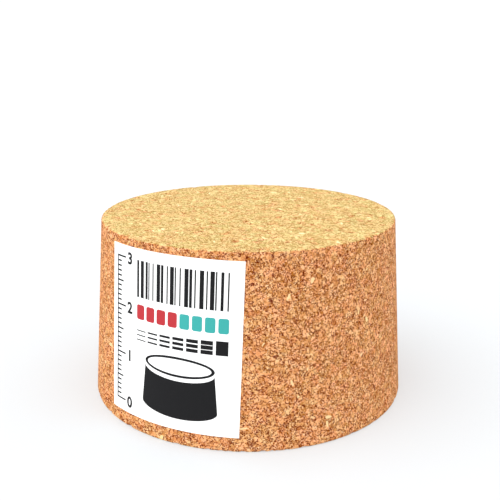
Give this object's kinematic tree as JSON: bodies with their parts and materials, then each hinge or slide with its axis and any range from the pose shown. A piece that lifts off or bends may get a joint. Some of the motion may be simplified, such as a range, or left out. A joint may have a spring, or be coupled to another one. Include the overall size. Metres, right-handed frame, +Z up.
{
  "type": "miniature painting handle",
  "caption": "Tapered block of agglomerated cork that stands on its wide end, with a flat top to pin a model to while it is painted and a paper label on its wall.",
  "frame": {"origin": "centre of the wide end, on the plane the block stands on", "axes": "+Z up along the block's axis to the narrow end; the label faces -Y"},
  "size_m": [0.0704, 0.0704, 0.0395],
  "materials": {
    "cork": "raw ground cork, matt, open grain of small bonded granules",
    "adhesive": "clear tacky acrylic film",
    "label_paper": "white coated paper, satin, printed in black, red and teal"
  },
  "bodies": {
    "root": {"cork_block": "cork", "label_adhesive": "adhesive", "paper_label": "label_paper"}
  },
  "joints": []
}
